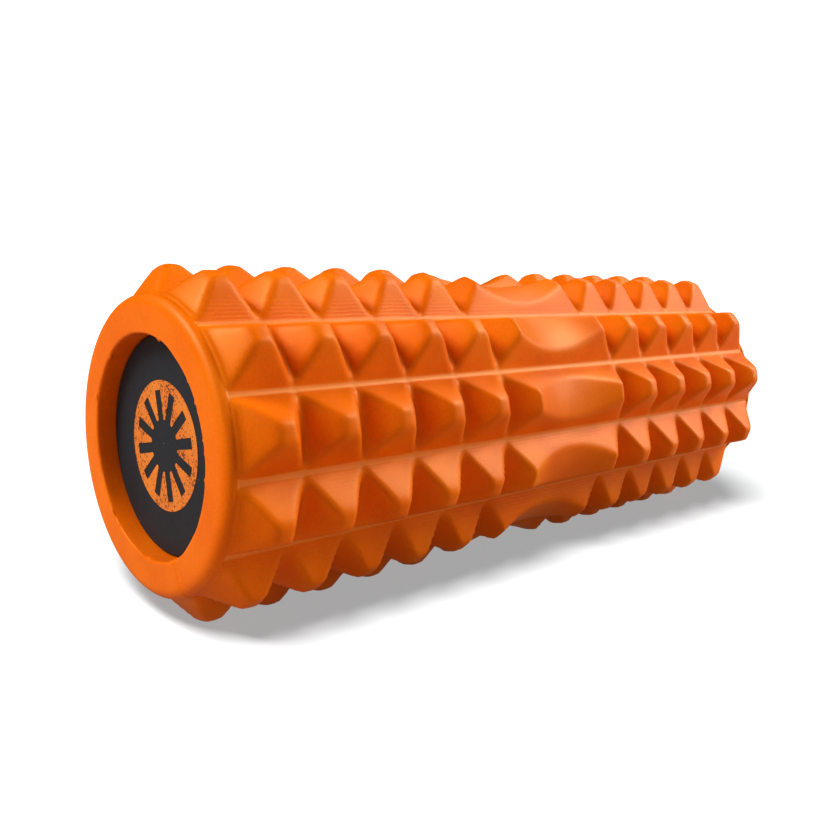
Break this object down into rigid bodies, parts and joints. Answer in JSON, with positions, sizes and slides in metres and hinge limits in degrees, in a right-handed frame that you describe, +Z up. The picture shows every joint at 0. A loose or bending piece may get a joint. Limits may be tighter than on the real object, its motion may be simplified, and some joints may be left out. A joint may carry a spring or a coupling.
{
  "type": "foam roller",
  "caption": "Spiked foam massage roller: a moulded foam sleeve with pyramid spikes and scooped bars round a capped hollow core.",
  "frame": {"origin": "middle of the roller's length, below its axis, on the surface that it rests on", "axes": "+X along the roller's axis, from the end shown nearest to the far end; +Z up; the roller rests on two columns of spikes, which lie symmetrically on either side of the XZ plane"},
  "size_m": [0.33, 0.1232, 0.1233],
  "materials": {
    "orange_foam": "closed-cell EVA foam with a satin moulded skin",
    "core_plastic": "extruded black plastic tube",
    "cap_plastic": "moulded black plastic with a fine matt texture",
    "orange_print": "thin printed film, slightly speckled"
  },
  "bodies": {
    "root": {"foam_sleeve": "orange_foam", "core_tube": "core_plastic", "end_cap_near": "cap_plastic", "end_cap_far": "cap_plastic", "end_mark_near": "orange_print", "end_mark_far": "orange_print"}
  },
  "joints": []
}
